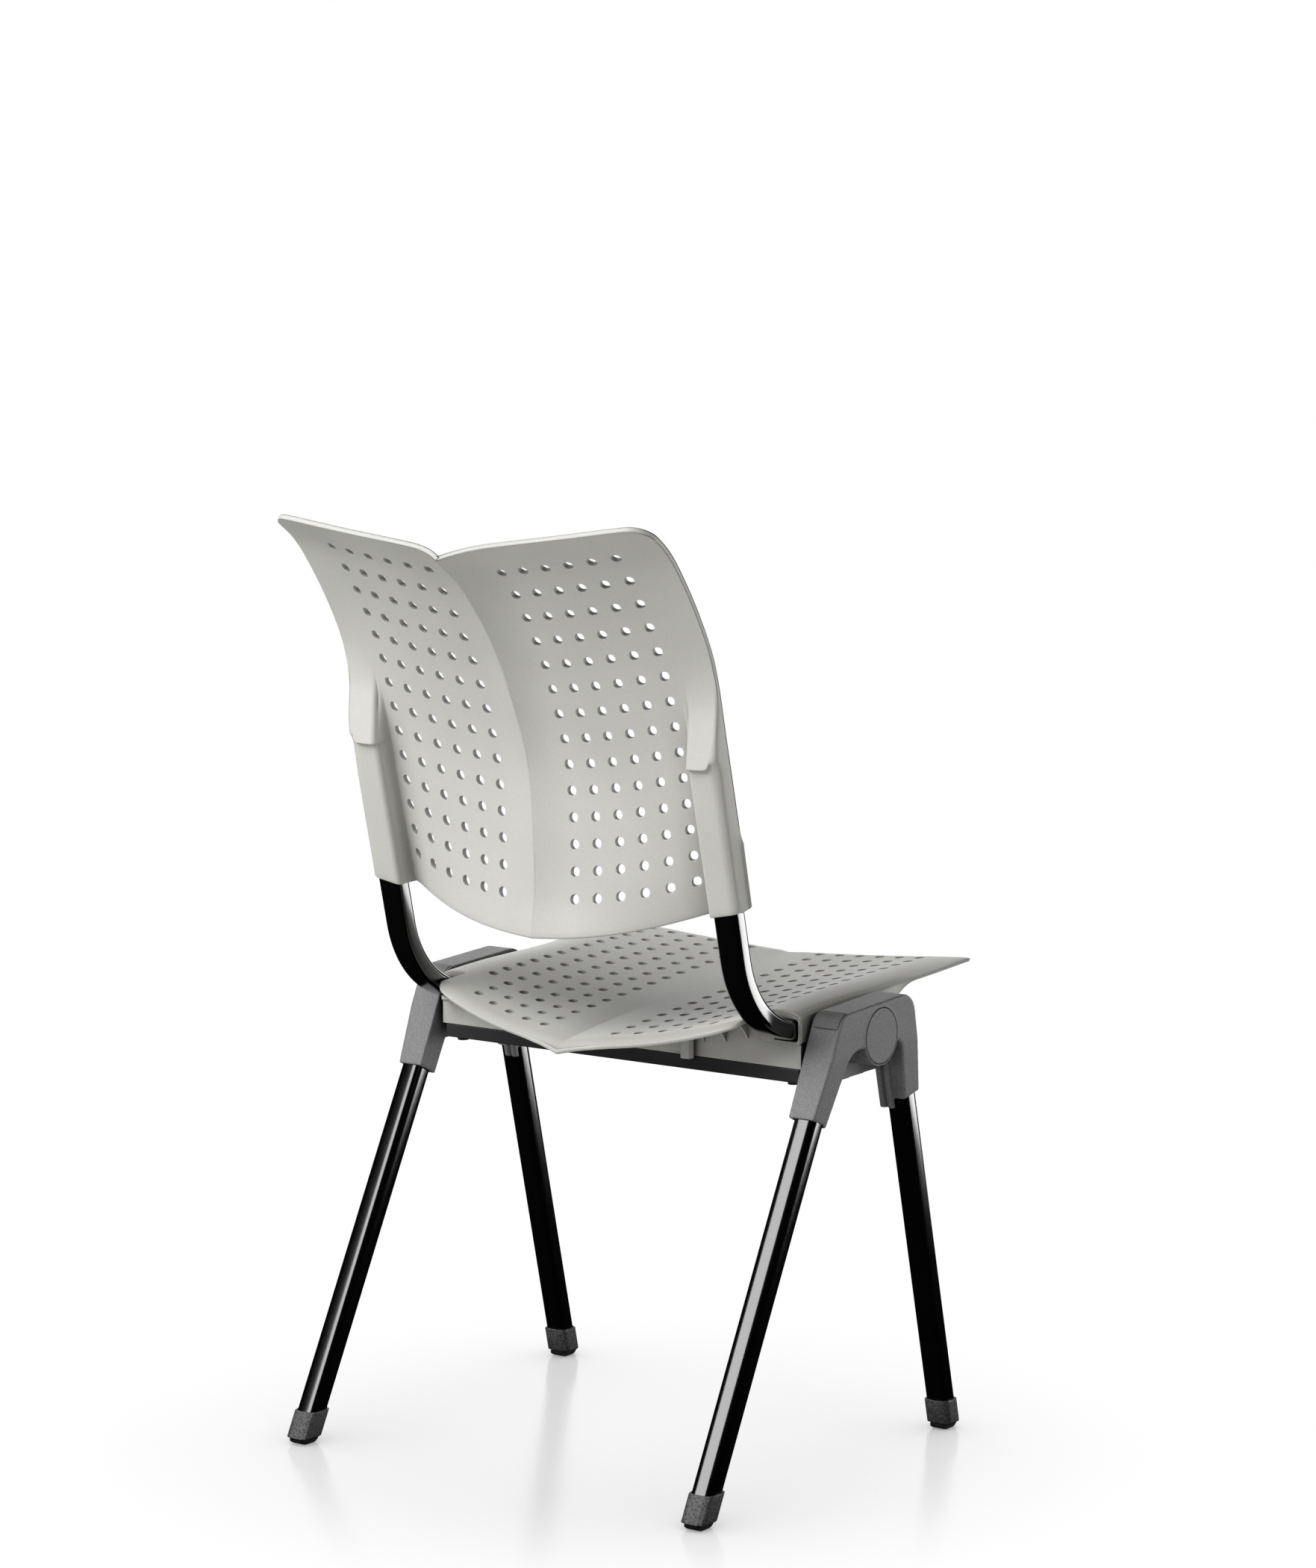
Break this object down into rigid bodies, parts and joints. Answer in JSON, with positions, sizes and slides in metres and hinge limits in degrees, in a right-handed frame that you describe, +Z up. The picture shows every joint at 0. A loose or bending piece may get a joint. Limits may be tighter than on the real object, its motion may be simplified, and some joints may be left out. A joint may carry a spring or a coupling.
{
  "type": "conference chair",
  "caption": "Stacking conference chair with a perforated plastic seat and back on a sprung tilting carrier, round-shouldered side hubs and slim splayed tubular legs.",
  "frame": {"origin": "on the floor under the middle of the chair's overall box", "axes": "+Z up, +Y towards the back of the chair, +X towards the sitter's left, which is the chair's left side; the mirror plane is X = 0"},
  "size_m": [0.492, 0.5548, 0.8775],
  "materials": {
    "shell_plastic": "warm light grey, finely grained polypropylene",
    "hub_plastic": "dark grey, coarse spark-eroded grain",
    "foot_plastic": "near-black, satin",
    "sole_rubber": "matt black, soft",
    "bush_rubber": "matt black, springy",
    "black_enamel": "gloss black stoved enamel on steel tube",
    "carrier_steel": "satin black powder coat on steel",
    "arm_alloy": "black powder coat on cast alloy",
    "shaft_steel": "turned steel",
    "screw_steel": "dark zinc plate"
  },
  "bodies": {
    "base": {"hub_right": "hub_plastic", "pivot_cap_right": "hub_plastic", "pivot_bush_right": "bush_rubber", "stack_pad_right": "hub_plastic", "leg_front_right": "black_enamel", "foot_front_right": "foot_plastic", "sole_front_right": "sole_rubber", "leg_rear_right": "black_enamel", "foot_rear_right": "foot_plastic", "sole_rear_right": "sole_rubber", "hub_left": "hub_plastic", "pivot_cap_left": "hub_plastic", "pivot_bush_left": "bush_rubber", "stack_pad_left": "hub_plastic", "leg_front_left": "black_enamel", "foot_front_left": "foot_plastic", "sole_front_left": "sole_rubber", "leg_rear_left": "black_enamel", "foot_rear_left": "foot_plastic", "sole_rear_left": "sole_rubber"},
    "seat_unit": {"upright_right": "black_enamel", "pivot_arm_right": "arm_alloy", "pivot_shaft_right": "shaft_steel", "upright_left": "black_enamel", "pivot_arm_left": "arm_alloy", "pivot_shaft_left": "shaft_steel", "back_shell": "shell_plastic", "seat_shell": "shell_plastic", "rear_housing": "shell_plastic", "cross_bar": "carrier_steel", "bar_screw_right_front": "screw_steel", "bar_screw_right_rear": "screw_steel", "bar_screw_left_front": "screw_steel", "bar_screw_left_rear": "screw_steel", "housing_screw_right": "screw_steel", "housing_screw_left": "screw_steel"}
  },
  "joints": [
    {"name": "seat_tilt", "type": "hinge", "parent": "base", "child": "seat_unit", "pos_m": [0, -0.0578, 0.3997], "axis": [-1, 0, 0], "range_deg": [0, 8], "stiffness_Nm_per_rad": 300, "springref_deg": -2.86}
  ]
}
